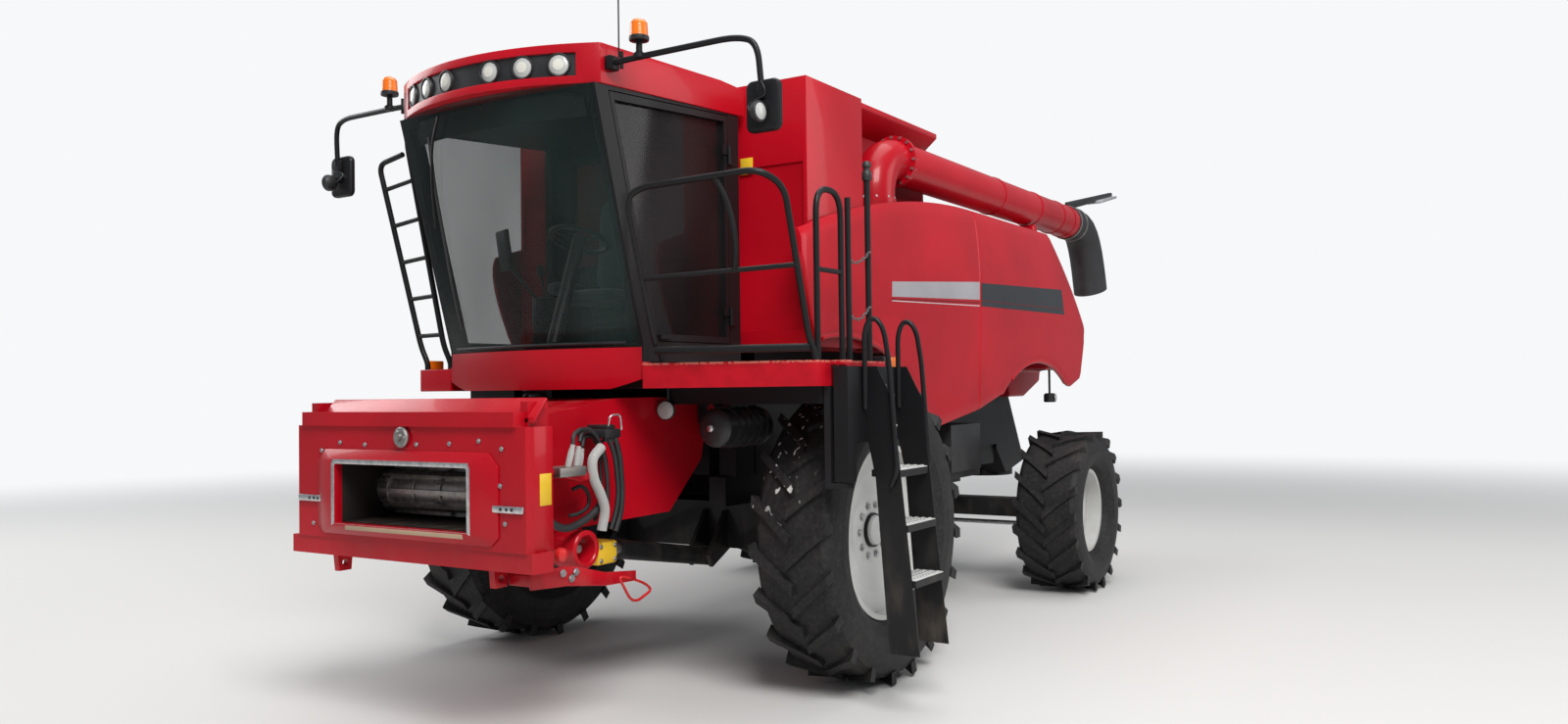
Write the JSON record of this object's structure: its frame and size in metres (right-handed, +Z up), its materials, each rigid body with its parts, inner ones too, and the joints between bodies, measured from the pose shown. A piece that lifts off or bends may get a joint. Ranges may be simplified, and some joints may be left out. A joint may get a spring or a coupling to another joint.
{
  "type": "combine harvester",
  "caption": "Self-propelled grain harvester with glazed cab, open grain tank, folded unloading tube, liftable feeder house, steered rear wheels, hinged door and swinging ladder.",
  "frame": {"origin": "on the ground, at the middle of the machine's length and width, so 2.215 m behind the front axle and 0.174 m to the left of the chassis centre line", "axes": "+X forward, +Y to the machine's left, +Z up"},
  "size_m": [9.37, 4.062, 4.295],
  "materials": {
    "red_paint": "gloss",
    "black_paint": "satin",
    "silver_paint": "satin",
    "bare_steel": "satin",
    "exhaust_steel": "satin",
    "tread_rubber": "matte",
    "spout_rubber": "matte",
    "window_glass": "gloss",
    "black_plastic": "matte",
    "seat_cover": "matte",
    "lamp_clear": "gloss",
    "lamp_amber": "gloss"
  },
  "bodies": {
    "chassis": {"main_frame": "black_paint", "front_axle": "black_paint", "rear_axle": "black_paint", "separator_body": "black_paint", "engine_block": "bare_steel", "engine_hood": "red_paint", "straw_hood": "red_paint", "straw_spreader": "black_paint", "grain_tank": "red_paint", "tank_flaps": "red_paint", "cab_frame": "black_paint", "cab_glass": "window_glass", "cab_roof": "red_paint", "cab_nose": "red_paint", "lamp_band": "black_plastic", "clear_lamps": "lamp_clear", "amber_lamps": "lamp_amber", "operator_seat": "seat_cover", "steering_column": "black_plastic", "mirror_arms": "black_paint", "mirrors": "black_plastic", "left_deck": "black_paint", "right_deck": "red_paint", "deck_rails": "black_paint", "left_front_shield": "red_paint", "left_rear_shield": "red_paint", "right_front_shield": "red_paint", "right_rear_shield": "red_paint", "tool_box": "black_plastic", "air_canister": "black_plastic", "exhaust_stack": "exhaust_steel", "air_screen": "black_plastic", "unloader_turret": "red_paint"},
    "feeder": {"feeder_house": "red_paint", "feeder_face": "red_paint", "feeder_chain": "bare_steel"},
    "lift_barrel_pair": {"lift_barrels": "black_paint"},
    "lift_rod_pair": {"lift_rods": "bare_steel"},
    "steering_rod": {"tie_rod": "bare_steel"},
    "left_steer": {"left_knuckle": "black_paint"},
    "right_steer": {"right_knuckle": "black_paint"},
    "front_left_wheel": {"front_left_tyre": "tread_rubber", "front_left_rim": "silver_paint"},
    "front_right_wheel": {"front_right_tyre": "tread_rubber", "front_right_rim": "silver_paint"},
    "rear_left_wheel": {"rear_left_tyre": "tread_rubber", "rear_left_rim": "silver_paint"},
    "rear_right_wheel": {"rear_right_tyre": "tread_rubber", "rear_right_rim": "silver_paint"},
    "unloader": {"unloader_tube": "red_paint", "unloader_spout": "spout_rubber"},
    "side_door": {"cab_door": "black_paint", "door_glass": "window_glass"},
    "side_ladder": {"ladder": "black_paint", "ladder_rails": "black_paint"}
  },
  "joints": [
    {"name": "front_left_spin", "type": "hinge", "parent": "chassis", "child": "front_left_wheel", "pos_m": [2.215, 1.296, 0.955], "axis": [0, 1, 0], "continuous": true},
    {"name": "front_right_spin", "type": "hinge", "parent": "chassis", "child": "front_right_wheel", "pos_m": [2.215, -1.644, 0.955], "axis": [0, 1, 0], "continuous": true},
    {"name": "left_steer_turn", "type": "hinge", "parent": "chassis", "child": "left_steer", "pos_m": [-1.595, 1.041, 0.725], "axis": [0, 0, 1], "range_deg": [-35, 35]},
    {"name": "right_steer_turn", "type": "hinge", "parent": "chassis", "child": "right_steer", "pos_m": [-1.595, -1.389, 0.725], "axis": [0, 0, 1], "range_deg": [-35, 35]},
    {"name": "rear_left_spin", "type": "hinge", "parent": "left_steer", "child": "rear_left_wheel", "pos_m": [-1.595, 1.393, 0.725], "axis": [0, 1, 0], "continuous": true},
    {"name": "rear_right_spin", "type": "hinge", "parent": "right_steer", "child": "rear_right_wheel", "pos_m": [-1.595, -1.741, 0.725], "axis": [0, 1, 0], "continuous": true},
    {"name": "steering_slide", "type": "slide", "parent": "chassis", "child": "steering_rod", "axis": [0, 1, 0], "range_m": [-0.108, 0.108]},
    {"name": "feeder_lift", "type": "hinge", "parent": "chassis", "child": "feeder", "pos_m": [2.775, -0.174, 1.74], "axis": [0, 1, 0], "range_deg": [-2, 22]},
    {"name": "barrel_tilt", "type": "hinge", "parent": "chassis", "child": "lift_barrel_pair", "pos_m": [2.545, -0.174, 0.76], "axis": [0, 1, 0], "range_deg": [-2, 18]},
    {"name": "rod_slide", "type": "slide", "parent": "lift_barrel_pair", "child": "lift_rod_pair", "axis": [0.9849, 0, 0.1734], "range_m": [-0.375, 0.036]},
    {"name": "unloader_swing", "type": "hinge", "parent": "chassis", "child": "unloader", "pos_m": [1.315, 0.936, 3.2], "axis": [0, 0, -1], "range_deg": [0, 95]},
    {"name": "door_swing", "type": "hinge", "parent": "chassis", "child": "side_door", "pos_m": [2.738, 0.64, 2.8], "axis": [0, 0, 1], "range_deg": [0, 65]},
    {"name": "ladder_swing", "type": "hinge", "parent": "chassis", "child": "side_ladder", "pos_m": [3.155, 1.694, 1.6], "axis": [0, 0, -1], "range_deg": [0, 90]}
  ],
  "couplings": [
    {"joint": "right_steer_turn", "follows": "left_steer_turn", "ratio": 1},
    {"joint": "steering_slide", "follows": "left_steer_turn", "m_per_rad": -0.173},
    {"joint": "barrel_tilt", "follows": "feeder_lift", "ratio": 0.785},
    {"joint": "rod_slide", "follows": "feeder_lift", "m_per_rad": -0.965}
  ]
}
